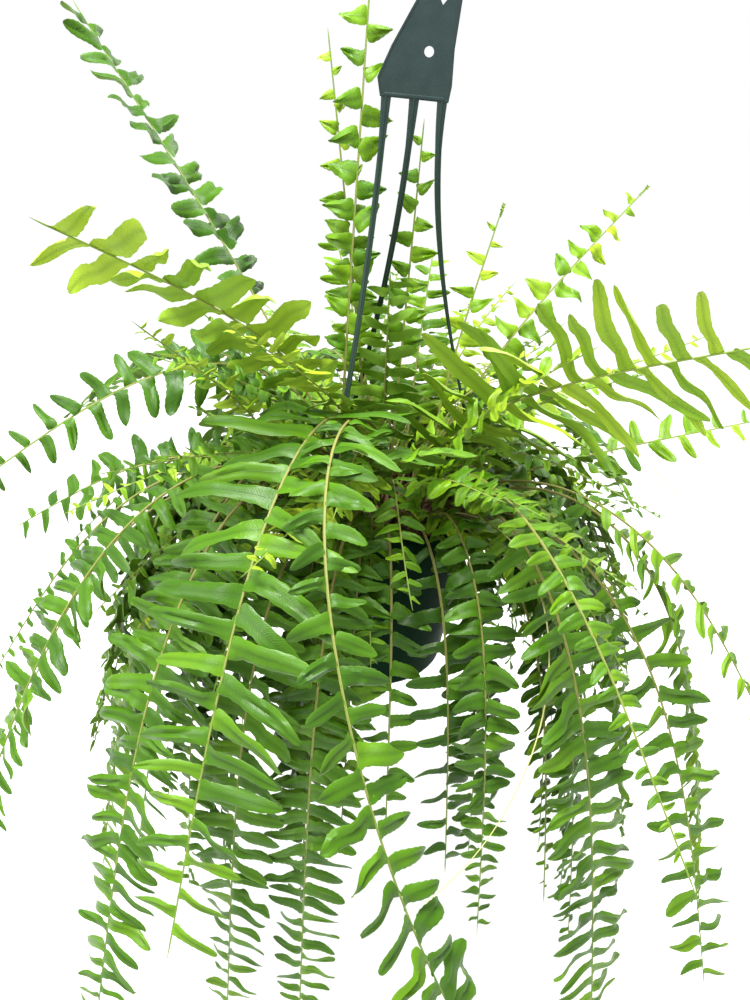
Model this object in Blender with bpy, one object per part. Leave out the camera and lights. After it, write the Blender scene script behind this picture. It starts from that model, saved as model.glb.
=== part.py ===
"""A Boston fern in a hanging basket: a moulded pot on a three-strand hanger, full of peat and fronds.

Metres, +Z up. The origin is the top of the hook's inside, where the basket hangs from its rod.
Everything is drawn round the middle of the pot's rim, and one empty carries it to its place under the hook.
"""

import math
import random
from typing import NamedTuple

import bmesh
import bpy
from mathutils import Matrix, Vector
from mathutils.bvhtree import BVHTree

MM = 0.001
GAP = 0.3 * MM
UP = Vector((0, 0, 1))

# Pot
RIM_RADIUS = 127 * MM
RIM_SKIRT = 14 * MM
POT_HEIGHT = 225 * MM
BASE_RADIUS = 88 * MM
FOOT_RING = 4 * MM
POT_WALL = 2 * MM
POT_SIDES = 32
FLANGE_INSIDE = 116.5 * MM
DRAIN_HOLES = 6
DRAIN_RADIUS = 6 * MM
DRAIN_CIRCLE = 55 * MM

# Hanger
HOOK_CENTRE = Vector((46 * MM, 0, 549 * MM))
HOOK_INSIDE = 11 * MM
HOOK_BAR = 6.8 * MM
HOOK_DEPTH = 4.6 * MM
HOOK_END = -20
PLATE_FOOT = Vector((15 * MM, 0, 420 * MM))
PLATE_LEAN = math.radians(3)
PLATE_THICK = 2.4 * MM
LEDGE = Vector((58 * MM, 4.2 * MM, 3 * MM))
STRAND_HEADINGS = (0, 118, -120)
STRAND_PLACES = (27 * MM, 0, -27 * MM)
STRAND_THICK = 2.2 * MM
STRAND_HALF_TOP = 4.9 * MM
STRAND_HALF = 3.2 * MM
STRAND_HALF_FOOT = 2.6 * MM
STRAND_STEPS = 9
SLOT_CIRCLE = 121.5 * MM
SLOT = Vector((3.4 * MM, 8 * MM, 12 * MM))

# Peat
SOIL_DEPTH = 14 * MM
ROOT_DEPTH = 24 * MM
STALK_GAP = 0.35 * MM

# Fronds
STALK_STEPS = 60
STALK_HALF_BASE = 1.3 * MM
STALK_HALF_TIP = 0.5 * MM
STALK_DEEP = 1.5
STIPE_STEP = 55 * MM
LAST_PAIR = 0.97
LEAFLET_ROOM = 0.86
LONG_LEAFLET = 50 * MM
BLADE_THICK = 0.9 * MM
CLEAR_ABOVE = 1.2 * MM
CLEAR_BELOW = 0.5 * MM
CLEAR_ROUND = 0.8 * MM

# A leaflet that would meet another piece is bent up or down by so many degrees, and shortened to this share.
BENDS = (
    (0, 1),
    (12, 1),
    (-12, 1),
    (24, 1),
    (-24, 1),
    (38, 1),
    (-38, 1),
    (0, 0.75),
    (20, 0.75),
    (-20, 0.75),
    (0, 0.5),
    (28, 0.5),
    (-28, 0.5),
    (0, 0.32),
    (35, 0.32),
    (-35, 0.32),
)


class Frond(NamedTuple):
    """One frond: where its stalk leaves the peat, how it bends, and the leaflets that it carries."""

    name: str
    heading: float  # degrees round the pot, 0 towards +X
    swing: float  # degrees that the heading has turned by at the tip
    root: tuple  # millimetres from the pot's axis, and degrees round it
    rise: float  # degrees above level where it leaves the peat
    weight: float  # how strongly what lies beyond each point bends it down
    length: float  # millimetres along the stalk
    pairs: int  # pairs of leaflets
    leaflet: float  # millimetres, the longest leaflet
    bare: float = 0.2  # share of the stalk below the first leaflets
    taper: float = 0.3  # the last leaflets' share of the longest one's length
    plump: float = 0.26  # a leaflet's width as a share of its length
    coiled: bool = False  # ends in an unopened coil
    roll: float = 0  # degrees that the two rows of leaflets are turned by round the stalk, left side up


FRONDS = (
    Frond("frond_front_left_broad", -108, 0, (30, -110), 80, 9.8, 725, 20, 92, 0.2, 0.45, 0.21),
    Frond("frond_front_middle_long", -121, 112, (38, -50), 77, 9.0, 820, 21, 34, 0.24, 1.7, 0.42),
    Frond("frond_right_near", -53, 0, (24, -15), 65, 2.7, 490, 14, 104, 0.24, 0.75, 0.16, roll=-44),
    Frond("frond_right_long", -63, 0, (50, -50), 68, 6.2, 580, 22, 31, 0.2, 0.25, 0.44),
    Frond("frond_left_near", -127, 0, (20, -135), 74, 3.68, 525, 9, 64, 0.4, 0.8, 0.38, roll=26),
    Frond("frond_left_front", -128, 0, (45, -130), 78, 11.0, 680, 15, 62, 0.2, 0.45, 0.28),
    Frond("frond_left_tall", 157, 0, (32, 148), 62, 0.8, 640, 12, 66, 0.42, 0.5, 0.4, roll=8),
    Frond("frond_left_level", -148, 0, (50, 178), 84, 8.9, 520, 13, 46, 0.28, 0.4, 0.4, roll=-55),
    Frond("frond_left_drooping", -163, 0, (65, -160), 64, 8.5, 540, 12, 50, 0.2, 0.35, 0.34, roll=-25),
    Frond("frond_left_low_long", -119, 0, (70, -128), 70, 9.2, 770, 14, 54, 0.3, 0.6, 0.3),
    Frond("frond_left_outer_long", -139, 0, (72, -146), 66, 7.6, 700, 12, 52, 0.28, 0.5, 0.3),
    Frond("frond_left_short", 178, 0, (70, 172), 59, 5.4, 410, 9, 38, 0.35, 0.4, 0.4, roll=-40),
    Frond("frond_left_flat", 180, 0, (80, 184), 50, 4.0, 420, 8, 46, 0.35, 0.5, 0.42, roll=-40),
    Frond("frond_left_fine", -168, 0, (80, -168), 54, 5.8, 540, 12, 24, 0.4, 0.3, 0.45, roll=-35),
    Frond("frond_left_slanting", -162, 0, (84, -155), 54, 6.4, 560, 11, 42, 0.35, 0.5, 0.36, roll=-30),
    Frond("frond_right_thin", 0, 0, (60, 8), 26, 0.5, 430, 8, 38, 0.4, 0.4, 0.36, roll=30),
    Frond("frond_right_young", 36, 0, (40, 25), 62, 1.7, 500, 9, 32, 0.36, 0.3, 0.66, True, 50),
    Frond("frond_crown_coiled", 40, 0, (50, 2), 84, 3.0, 345, 6, 28, 0.36, 0.3, 0.5, True, 40),
    Frond("frond_crown_tallest", 30, 0, (54, 165), 88, 0.9, 600, 12, 30, 0.28, 0.6, 0.64, roll=50),
    Frond("frond_crown_tall_left", 150, 0, (25, 120), 84, 1.0, 500, 10, 27, 0.3, 0.35, 0.64, roll=-50),
    Frond("frond_crown_tall_right", 60, 0, (20, 60), 86, 0.6, 420, 8, 25, 0.35, 0.45, 0.66, roll=40),
    Frond("frond_right_outer", -22, 0, (70, -12), 54, 5.8, 610, 12, 42, 0.28, 0.45, 0.34),
    Frond("frond_right_low_long", -30, 0, (62, -34), 42, 6.8, 800, 15, 50, 0.3, 0.7, 0.38, roll=50),
    Frond("frond_right_hanging", -58, 0, (72, -44), 62, 9.0, 760, 13, 60, 0.26, 0.6, 0.28),
    Frond("frond_front_narrow", -47, 0, (80, -56), 56, 9.3, 570, 13, 26, 0.36, 0.25, 0.45),
    Frond("frond_front_middle", -85, 0, (78, -86), 60, 9.0, 410, 11, 40, 0.2, 0.5, 0.42),
    Frond("frond_front_round", -57, 0, (78, -66), 58, 7.0, 260, 10, 13, 0.24, 0.7, 0.8),
    Frond("frond_front_dark", -70, 0, (66, -76), 64, 10.0, 500, 11, 42, 0.24, 0.6, 0.36),
    Frond("frond_front_young", -50, 0, (52, -76), 52, 2.6, 150, 4, 20, 0.4, 0.6, 0.6),
    Frond("frond_front_hanging", -100, 0, (72, -100), 62, 10.5, 720, 14, 50, 0.24, 0.5, 0.32),
    Frond("frond_front_left_low", -112, 0, (80, -114), 60, 10.0, 710, 13, 54, 0.24, 0.5, 0.32),
    Frond("frond_left_pale", -145, 0, (90, -135), 60, 9.0, 620, 12, 46, 0.26, 0.5, 0.36),
    Frond("frond_right_low", -40, 0, (84, -36), 56, 9.0, 490, 11, 44, 0.26, 0.5, 0.34),
    Frond("frond_right_pale", -22, 0, (88, -24), 58, 8.5, 760, 13, 50, 0.28, 0.5, 0.32),
    Frond("frond_right_side", 13, 0, (88, 15), 54, 7.5, 560, 10, 44, 0.26, 0.4, 0.34),
    Frond("frond_back_right", 35, 0, (60, 38), 62, 6.0, 600, 9, 54, 0.26, 0.4, 0.42),
    Frond("frond_back_right_high", 60, 0, (55, 62), 66, 7.0, 620, 9, 56, 0.26, 0.4, 0.42),
    Frond("frond_back_middle", 85, 0, (60, 86), 62, 6.5, 600, 9, 54, 0.26, 0.4, 0.42),
    Frond("frond_back_middle_high", 108, 0, (50, 106), 68, 6.5, 660, 9, 58, 0.26, 0.4, 0.42),
    Frond("frond_back_left", 130, 0, (60, 130), 64, 6.5, 600, 9, 54, 0.26, 0.4, 0.42),
    Frond("frond_back_left_high", 150, 0, (55, 150), 70, 6.0, 620, 9, 54, 0.26, 0.4, 0.42),
    Frond("frond_low_right", 20, 0, (80, 20), 56, 8.0, 560, 8, 50, 0.24, 0.4, 0.44),
    Frond("frond_low_back_right", 46, 0, (80, 46), 58, 8.5, 580, 8, 50, 0.24, 0.4, 0.44),
    Frond("frond_low_back", 72, 0, (80, 72), 56, 8.0, 560, 8, 50, 0.24, 0.4, 0.44),
    Frond("frond_low_back_middle", 100, 0, (80, 100), 58, 8.5, 580, 8, 50, 0.24, 0.4, 0.44),
    Frond("frond_low_back_left", 126, 0, (82, 126), 56, 8.0, 560, 8, 50, 0.24, 0.4, 0.44),
    Frond("frond_low_left_back", 143, 0, (80, 143), 58, 8.5, 580, 8, 50, 0.24, 0.4, 0.44),
    Frond("frond_low_left", 162, 0, (80, 160), 56, 7.5, 540, 8, 48, 0.24, 0.4, 0.44),
    Frond("frond_crown_front", -90, 0, (12, -90), 84, 3.0, 300, 5, 40, 0.3, 0.5, 0.4),
    Frond("frond_crown_right", -20, 0, (35, -15), 76, 3.0, 280, 5, 36, 0.3, 0.5, 0.4),
    Frond("frond_crown_back_left", 120, 0, (35, 95), 80, 3.0, 320, 5, 40, 0.3, 0.5, 0.4),
    Frond("frond_crown_left", -150, 0, (40, -165), 78, 3.5, 300, 5, 40, 0.3, 0.5, 0.4),
    Frond("frond_crown_near", -75, 0, (55, -90), 74, 4.0, 300, 5, 38, 0.3, 0.5, 0.4),
    Frond("frond_crown_back_right", 80, 0, (42, 50), 78, 3.0, 320, 5, 40, 0.3, 0.5, 0.4),
)

RUNNERS = (
    Frond("runner_right", -43, 0, (52, -24), 87, 11, 490, 0, 0),
    Frond("runner_front_right", -35, -160, (70, -62), 50, 5.5, 560, 0, 0),
    Frond("runner_front_left", -128, 60, (84, -124), 50, 7.0, 380, 0, 0),
)


def heading(degrees):
    angle = math.radians(degrees)
    return Vector((math.cos(angle), math.sin(angle), 0))


def clear_scene():
    for obj in list(bpy.data.objects):
        bpy.data.objects.remove(obj, do_unlink=True)


def material(name, colour, roughness):
    made = bpy.data.materials.new(name)
    made.use_nodes = True
    surface = made.node_tree.nodes["Principled BSDF"]
    surface.inputs["Base Color"].default_value = (*colour, 1)
    surface.inputs["Roughness"].default_value = roughness
    made.diffuse_color = (*colour, 1)
    return made


def add_object(bm, name, finish=None):
    """The bmesh as a named object with its faces outward."""
    bmesh.ops.recalc_face_normals(bm, faces=bm.faces)
    mesh = bpy.data.meshes.new(name)
    bm.to_mesh(mesh)
    bm.free()
    obj = bpy.data.objects.new(name, mesh)
    bpy.context.scene.collection.objects.link(obj)
    if finish:
        mesh.materials.append(finish)
    return obj


def apply_boolean(obj, operation, other):
    modifier = obj.modifiers.new(operation.title(), "BOOLEAN")
    modifier.operation = operation
    modifier.solver = "EXACT"
    modifier.object = other
    with bpy.context.temp_override(object=obj, active_object=obj):
        bpy.ops.object.modifier_apply(modifier=modifier.name)
    bpy.data.objects.remove(other, do_unlink=True)


def add_box(bm, size, place):
    bmesh.ops.create_cube(bm, size=1, matrix=place @ Matrix.Diagonal((*size, 1)))


def add_turned(bm, outline, sides):
    """Turns an outline of (radius, height) points, which starts and ends on the Z axis."""
    points = [bm.verts.new((radius, 0, height)) for radius, height in outline]
    edges = [bm.edges.new(pair) for pair in zip(points, points[1:])]
    bmesh.ops.spin(
        bm,
        geom=points + edges,
        cent=(0, 0, 0),
        axis=(0, 0, 1),
        angle=math.tau,
        steps=sides,
        use_merge=True,
    )
    bmesh.ops.remove_doubles(bm, verts=bm.verts, dist=0.01 * MM)


def add_tube(bm, sections):
    """Skins a row of closed outlines that all have the same number of points, and caps both ends."""
    rings = [[bm.verts.new(point) for point in section] for section in sections]
    count = len(rings[0])
    for ring, following in zip(rings, rings[1:]):
        for index in range(count):
            after = (index + 1) % count
            bm.faces.new((ring[index], ring[after], following[after], following[index]))
    bm.faces.new(rings[0])
    bm.faces.new(rings[-1])


def add_flat(bm, outline, thick, place):
    """A flat piece with this outline in X and Z, its thickness halved by Y = 0."""
    add_tube(bm, [[place @ Vector((x, y, z)) for x, z in outline] for y in (-thick / 2, thick / 2)])


def rim_place(turn):
    """The middle of a hanger slot in the rim, X outward."""
    return Matrix.Rotation(math.radians(turn), 4, "Z") @ Matrix.Translation((SLOT_CIRCLE, 0, 0))


def pot(finish):
    """A thin tapered pot: foot ring, flange, skirt round the rim, drain holes and three hanger slots."""
    floor = -POT_HEIGHT + FOOT_RING
    skirt_inside = RIM_RADIUS - POT_WALL
    outline = (
        (0, floor),
        (BASE_RADIUS - 14 * MM, floor),
        (BASE_RADIUS - 11 * MM, -POT_HEIGHT),
        (BASE_RADIUS - 4 * MM, -POT_HEIGHT),
        (BASE_RADIUS, floor + 2 * MM),
        (FLANGE_INSIDE + 1.5 * MM, -POT_WALL),
        (skirt_inside, -POT_WALL),
        (skirt_inside, -RIM_SKIRT),
        (RIM_RADIUS, -RIM_SKIRT),
        (RIM_RADIUS, -1 * MM),
        (RIM_RADIUS - 1 * MM, 0),
        (FLANGE_INSIDE, 0),
        (BASE_RADIUS - POT_WALL, floor + 3 * MM),
        (0, floor + POT_WALL),
    )
    bm = bmesh.new()
    add_turned(bm, outline, POT_SIDES)
    made = add_object(bm, "pot", finish)
    cutters = bmesh.new()
    for turn in STRAND_HEADINGS:
        add_box(cutters, SLOT, rim_place(turn))
    for index in range(DRAIN_HOLES):
        middle = heading(360 * (index + 0.5) / DRAIN_HOLES) * DRAIN_CIRCLE + UP * floor
        bmesh.ops.create_cone(
            cutters,
            cap_ends=True,
            segments=8,
            radius1=DRAIN_RADIUS,
            radius2=DRAIN_RADIUS,
            depth=20 * MM,
            matrix=Matrix.Translation(middle),
        )
    apply_boolean(made, "DIFFERENCE", add_object(cutters, "pot_cutters"))
    return made


def plate_place():
    """The hanger plate's own frame: X across it and Z up it, from the middle of its lower edge."""
    return Matrix.Translation(PLATE_FOOT) @ Matrix.Rotation(PLATE_LEAN, 4, "Y")


def add_plate(bm):
    """A flag-shaped plate with a pointed corner on the right."""
    outline = (
        (-33, 0),
        (-37, 16),
        (-26, 43),
        (7.2, 108),
        (14, 108),
        (16.4, 103),
        (28, 97),
        (35.5, 101),
        (34, 66),
        (33, 44),
        (34.5, 14),
        (33, 0),
    )
    add_flat(bm, [(x * MM, z * MM) for x, z in outline], PLATE_THICK, plate_place())


def add_plate_holes(bm):
    """A round hole in the middle of the plate, and a tear-shaped one above it."""
    place = plate_place()
    turns = [math.tau * (step + 0.5) / 8 for step in range(8)]
    round_hole = [(9.5 + 4.6 * math.sin(turn), 40.5 + 4.6 * math.cos(turn)) for turn in turns]
    tear = ((15.6, 81), (21.4, 83), (21.8, 92), (18.6, 97), (15.2, 92))
    for outline in (round_hole, tear):
        add_flat(bm, [(x * MM, z * MM) for x, z in outline], 4 * PLATE_THICK, place)


def add_hook(bm):
    """Up from the plate's neck, over in an arc, and down to a blunt end. It is open on the right."""
    foot = plate_place() @ Vector((10.6 * MM, 0, 98 * MM))
    right = Vector((1, 0, 0))
    middles = [(foot, -right)]
    for angle in range(180, HOOK_END - 1, -20):
        outward = right * math.cos(math.radians(angle)) + UP * math.sin(math.radians(angle))
        middles.append((HOOK_CENTRE + outward * (HOOK_INSIDE + HOOK_BAR / 2), outward))
    corners = ((1, -0.5), (1, 0.5), (0, 1), (-1, 0.5), (-1, -0.5), (0, -1))
    sections = [
        [middle + outward * (HOOK_BAR / 2 * x) + Vector((0, HOOK_DEPTH / 2 * y, 0)) for x, y in corners]
        for middle, outward in middles
    ]
    add_tube(bm, sections)


def strand_points(turn, across):
    """A strand's middle line, straight down out of the plate, then out to its slot in the rim."""
    place = plate_place()
    top = place @ Vector((across, 0, 2 * MM))
    foot = heading(turn) * SLOT_CIRCLE + UP * 3 * MM
    leave = place.to_3x3() @ -UP * (430 * MM)
    arrive = (foot - top) * Vector((1.35, 1.35, 0.95))
    points = []
    for step in range(STRAND_STEPS + 1):
        t = step / STRAND_STEPS
        points.append(
            top * (2 * t**3 - 3 * t**2 + 1)
            + leave * (t**3 - 2 * t**2 + t)
            + foot * (3 * t**2 - 2 * t**3)
            + arrive * (t**3 - t**2)
        )
    return points


def add_strand(bm, turn, across):
    """A flat strap with a ridge along its outer face, which turns from the plate's plane to face outward."""
    points = strand_points(turn, across)
    sideways = UP.cross(heading(turn))
    if sideways.x < 0:
        sideways = -sideways
    sections = []
    for step, point in enumerate(points):
        share = step / STRAND_STEPS
        half_width = STRAND_HALF + (STRAND_HALF_FOOT - STRAND_HALF) * share if step else STRAND_HALF_TOP
        along = (points[min(step + 1, STRAND_STEPS)] - points[max(step - 1, 0)]).normalized()
        flat = Vector((1, 0, 0)).lerp(sideways, min(1, 1.4 * share))
        flat = (flat - along * flat.dot(along)).normalized()
        thick = along.cross(flat) * (STRAND_THICK / 2)
        half = flat * half_width
        front = point + thick
        behind = point - thick
        sections.append((behind + half, front + half, point + thick * 1.7, front - half, behind - half))
    add_tube(bm, sections)


def add_shoulder(bm, turn):
    """The thick end of a strand, which rests on the rim."""
    size = Vector((4.6 * MM, 11 * MM, 5 * MM))
    add_box(bm, size, rim_place(turn) @ Matrix.Translation((0, 0, size.z / 2 + GAP)))


def add_tongue(bm, turn):
    """What goes through the slot."""
    size = Vector((SLOT.x - 2 * GAP, SLOT.y - 2 * GAP, 10 * MM))
    add_box(bm, size, rim_place(turn) @ Matrix.Translation((0, 0, -2.5 * MM)))


def add_barb(bm, turn):
    """The wider end of the tongue, which holds it under the rim's flange."""
    size = Vector((2 * MM, SLOT.y + 4 * MM, 3.4 * MM))
    add_box(bm, size, rim_place(turn) @ Matrix.Translation((0, 0, -POT_WALL - GAP - size.z / 2)))


def hanger(finish):
    """Plate, hook and three strands, moulded in one. The plate's lettering is left off."""
    bm = bmesh.new()
    add_plate(bm)
    made = add_object(bm, "hanger", finish)
    joined = [(add_hook,), (add_box, LEDGE, plate_place() @ Matrix.Translation((0, 0, LEDGE.z / 2 + 1 * MM)))]
    for turn, across in zip(STRAND_HEADINGS, STRAND_PLACES):
        joined += [(add_strand, turn, across), (add_shoulder, turn), (add_tongue, turn), (add_barb, turn)]
    for shape, *settings in joined:
        piece = bmesh.new()
        shape(piece, *settings)
        apply_boolean(made, "UNION", add_object(piece, "hanger_piece"))
    holes = bmesh.new()
    add_plate_holes(holes)
    apply_boolean(made, "DIFFERENCE", add_object(holes, "hanger_holes"))
    return made


def stalk_path(frond):
    """Points along a stalk that bends under what lies beyond each point, each with its direction."""
    rise = math.radians(frond.rise)
    directions = []
    for step in range(STALK_STEPS + 1):
        u = step / STALK_STEPS
        way = heading(frond.heading + frond.swing * u**1.5)
        directions.append(way * math.cos(rise) + UP * math.sin(rise))
        rise -= frond.weight * (1 - u) ** 1.5 * math.cos(rise) / STALK_STEPS
    radius, turn = frond.root
    points = [heading(turn) * (radius * MM) - UP * SOIL_DEPTH]
    for before, after in zip(directions, directions[1:]):
        points.append(points[-1] + (before + after) / 2 * (frond.length * MM / STALK_STEPS))
    return list(zip(points, directions))


def leftward(frond, path, u):
    """Across the stalk to its left, at this share of its length: level, or turned by the frond's roll."""
    level = UP.cross(heading(frond.heading + frond.swing * u**1.5))
    return Matrix.Rotation(math.radians(frond.roll), 3, path[round(u * STALK_STEPS)][1]) @ level


def stalk_section(frond, path, u, more=0.0):
    """The stalk's three corners, left, right and underneath, with more all round if asked."""
    index = min(int(u * STALK_STEPS), STALK_STEPS - 1)
    part = u * STALK_STEPS - index
    point = path[index][0].lerp(path[index + 1][0], part)
    along = path[index][1].lerp(path[index + 1][1], part).normalized()
    left = leftward(frond, path, u)
    under = left.cross(along) * STALK_DEEP
    half = STALK_HALF_BASE + (STALK_HALF_TIP - STALK_HALF_BASE) * u
    middle = point + under * (half / 3)
    corners = (point + left * half, point - left * half, point + under * half)
    return [middle + (corner - middle) * (1 + 1.6 * more / half) for corner in corners]


def stalk_places(frond):
    """Shares of the stalk's length where it has corners: along the bare part, then between its leaflets."""
    if not frond.pairs:
        return [step / 11 for step in range(11)], []
    steps = max(2, math.ceil(frond.bare * frond.length * MM / STIPE_STEP))
    bare = [frond.bare * step / steps for step in range(steps)]
    room = (LAST_PAIR - frond.bare) / frond.pairs
    return bare, [frond.bare + room * step for step in range(frond.pairs + 1)]


def coil(frond, path):
    """Corners along an unopened coil at the stalk's end, which curls under itself."""
    point, along = path[-1]
    left = leftward(frond, path, 1)
    turn = Matrix.Rotation(math.radians(46), 3, left)
    sections = []
    for step in range(9):
        point = point + along * ((6.4 - 0.42 * step) * MM)
        along = turn @ along
        under = left.cross(along)
        half = (1.1 - 0.04 * step) * MM
        sections.append((point + left * half, point - left * half, point + under * half * 1.2))
    return sections


def leaflet_length(frond, v):
    """At this share of the leafy part: shorter near its foot, and tapering towards the tip."""
    rising = 0.72 + 0.28 * min(1, v / 0.2)
    falling = 1 - (1 - frond.taper) * max(0, (v - 0.35) / 0.65) ** 1.6
    return frond.leaflet * MM * rising * falling


class Leaflet(NamedTuple):
    """One leaflet: its edge from one end of its root round to the other, and the top of its middle."""

    edge: list
    peak: Vector
    shell: tuple  # two outlines, above and below, a little larger all round


class Blade(NamedTuple):
    """A leaflet's size and angles, before it is bent clear of anything."""

    length: float
    width: float
    sweep: float
    lift: float
    droop: float


def shape_leaflet(near, far, side, left, blade, bend):
    """A leaflet on the left (side 1) or right (side -1) of the stalk, between two of its corners."""
    more_lift, share = bend
    length = blade.length * share
    raised = blade.lift + math.radians(more_lift)
    along = (far - near).normalized()
    level = ((left - along * left.dot(along)) * side).normalized()
    above = along.cross(level) * side
    outward = level * math.cos(raised) + above * math.sin(raised)
    above = above * math.cos(raised) - level * math.sin(raised)
    axis = outward * math.cos(blade.sweep) + along * math.sin(blade.sweep)
    across = along * math.cos(blade.sweep) - outward * math.sin(blade.sweep)
    hanging = axis * math.cos(blade.droop) - above * math.sin(blade.droop) + across * 0.1
    if length > LONG_LEAFLET:
        stations = ((0.1, 0.5, 0.5), (0.62, 0.4, 0.47))
    else:
        stations = ((0.16, 0.5, 0.5),)
    middle = (near + far) / 2
    reach = stations[-1][0]
    knee = middle + axis * (length * reach)
    tip = knee + hanging * (length * (1 - reach))
    back, fore = [], []
    for out, behind, ahead in stations:
        back.append(middle + axis * (length * out) - across * (blade.width * behind))
        fore.insert(0, middle + axis * (length * out) + across * (blade.width * ahead))
    wider = across * CLEAR_ROUND
    beyond = tip + hanging * CLEAR_ROUND
    hull = [near, *(point - wider for point in back), beyond, *(point + wider for point in fore), far]
    shell = tuple([point + above * clear for point in hull] for clear in (CLEAR_ABOVE, -CLEAR_BELOW))
    return Leaflet([near, *back, tip, *fore, far], knee + above * BLADE_THICK, shell)


def shell_tree(shell, first=0):
    """The leaflet's hull, for tests. With first = 1 it leaves out the part at the stalk."""
    upper, lower = [outline[first : len(outline) - first] for outline in shell]
    count = len(upper)
    faces = [(k, (k + 1) % count, count + (k + 1) % count, count + k) for k in range(count)]
    start, end = 0, count - 1
    while end > start:
        strip = [start, start + 1, end - 1, end] if end - start > 2 else [start, start + 1, end]
        faces += [strip, [count + k for k in strip]]
        start, end = start + 1, end - 1
    return BVHTree.FromPolygons(upper + lower, faces)


def bounds(points):
    return [(min(point[axis] for point in points), max(point[axis] for point in points)) for axis in range(3)]


def apart(one, other):
    return any(a[0] > b[1] or b[0] > a[1] for a, b in zip(one, other))


class Obstacle(NamedTuple):
    """What a leaflet has to stay clear of."""

    owner: str
    box: list
    tree: BVHTree


def object_obstacle(obj):
    points = [vertex.co.copy() for vertex in obj.data.vertices]
    faces = [tuple(polygon.vertices) for polygon in obj.data.polygons]
    return Obstacle(obj.name, bounds(points), BVHTree.FromPolygons(points, faces))


def stalk_obstacle(frond):
    """A bare stalk with a margin round it."""
    path = stalk_path(frond)
    points = []
    for step in range(31):
        points += stalk_section(frond, path, step / 30, 0.5 * MM)
    if frond.coiled:
        for section in coil(frond, path):
            points += section
    faces = []
    for ring in range(0, len(points) - 3, 3):
        faces += [(ring + a, ring + b, ring + b + 3, ring + a + 3) for a, b in ((0, 1), (1, 2), (2, 0))]
    return Obstacle(frond.name, bounds(points), BVHTree.FromPolygons(points, faces))


def meets(tree, box, obstacles):
    return any(not apart(box, thing.box) and tree.overlap(thing.tree) for thing in obstacles)


def choose_leaflets(frond, path, leafy, corners, obstacles, seed):
    """Pairs of leaflets, each bent until it is clear of the other pieces, or left out where no bend is."""
    rng = random.Random(seed)
    others = [thing for thing in obstacles if thing.owner != frond.name]
    own = [thing for thing in obstacles if thing.owner == frond.name]
    chosen = []
    for index in range(frond.pairs):
        left = leftward(frond, path, (leafy[index] + leafy[index + 1]) / 2)
        pair = []
        for side, corner in ((1, 0), (-1, 1)):
            near, far = corners[index][corner], corners[index + 1][corner]
            length = leaflet_length(frond, (index + 0.5) / frond.pairs) * rng.uniform(0.94, 1.06)
            blade = Blade(
                length=length,
                width=min(length * frond.plump, (far - near).length * LEAFLET_ROOM),
                sweep=math.radians(rng.uniform(5, 13)),
                lift=math.radians(rng.uniform(-3, 11)),
                droop=math.radians(rng.uniform(6, 22)),
            )
            pair.append(None)
            for bend in BENDS:
                shape = shape_leaflet(near, far, side, left, blade, bend)
                box = bounds(shape.shell[0] + shape.shell[1])
                whole = shell_tree(shape.shell)
                outer = shell_tree(shape.shell, 1)
                if meets(whole, box, others) or meets(outer, box, own):
                    continue
                own.append(Obstacle(frond.name, box, outer))
                obstacles.append(Obstacle(frond.name, box, whole))
                pair[-1] = shape
                break
        chosen.append(pair)
    return chosen


def add_leaflet(bm, tops, keels, shape):
    """A blade on the stalk's edge: its middle raised above, its underside closed to the stalk's keel."""
    margin = [bm.verts.new(point) for point in shape.edge[1:-1]]
    peak = bm.verts.new(shape.peak)
    upper = [tops[0], *margin, tops[1]]
    for start, end in zip(upper, upper[1:] + upper[:1]):
        bm.faces.new((start, end, peak))
    bm.faces.new((tops[0], margin[0], keels[0]))
    bm.faces.new((tops[1], margin[-1], keels[1]))
    lower = [keels[0], *margin, keels[1]]
    while len(lower) > 3:
        bm.faces.new((lower[0], lower[1], lower[-1]))
        bm.faces.new((lower[1], lower[-2], lower[-1]))
        lower = lower[1:-1]
    bm.faces.new(lower)


def frond_object(frond, seed, finish, obstacles):
    """A three-sided stalk from its root in the peat to its tip, with leaflets grown out of two edges."""
    path = stalk_path(frond)
    bare, leafy = stalk_places(frond)
    sections = [stalk_section(frond, path, u) for u in bare + leafy]
    leaflets = choose_leaflets(frond, path, leafy, sections[len(bare) :], obstacles, seed)
    down = path[0][1] * -ROOT_DEPTH
    sections.insert(0, [corner + down for corner in sections[0]])
    bm = bmesh.new()
    if frond.coiled:
        sections += coil(frond, path)
    rings = [[bm.verts.new(corner) for corner in section] for section in sections]
    bm.faces.new(rings[0])
    if frond.coiled:
        bm.faces.new(rings[-1])
    else:
        tip = bm.verts.new(path[-1][0])
        left, right, keel = rings[-1]
        for pair in ((left, right), (right, keel), (keel, left)):
            bm.faces.new((*pair, tip))
    first = len(bare) + 1
    for index, (ring, following) in enumerate(zip(rings, rings[1:])):
        bm.faces.new((ring[0], ring[1], following[1], following[0]))
        pair = leaflets[index - first] if 0 <= index - first < frond.pairs else (None, None)
        for corner, shape in enumerate(pair):
            if shape:
                add_leaflet(bm, (ring[corner], following[corner]), (ring[2], following[2]), shape)
            else:
                bm.faces.new((ring[corner], ring[2], following[2], following[corner]))
    return add_object(bm, frond.name, finish)


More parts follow.
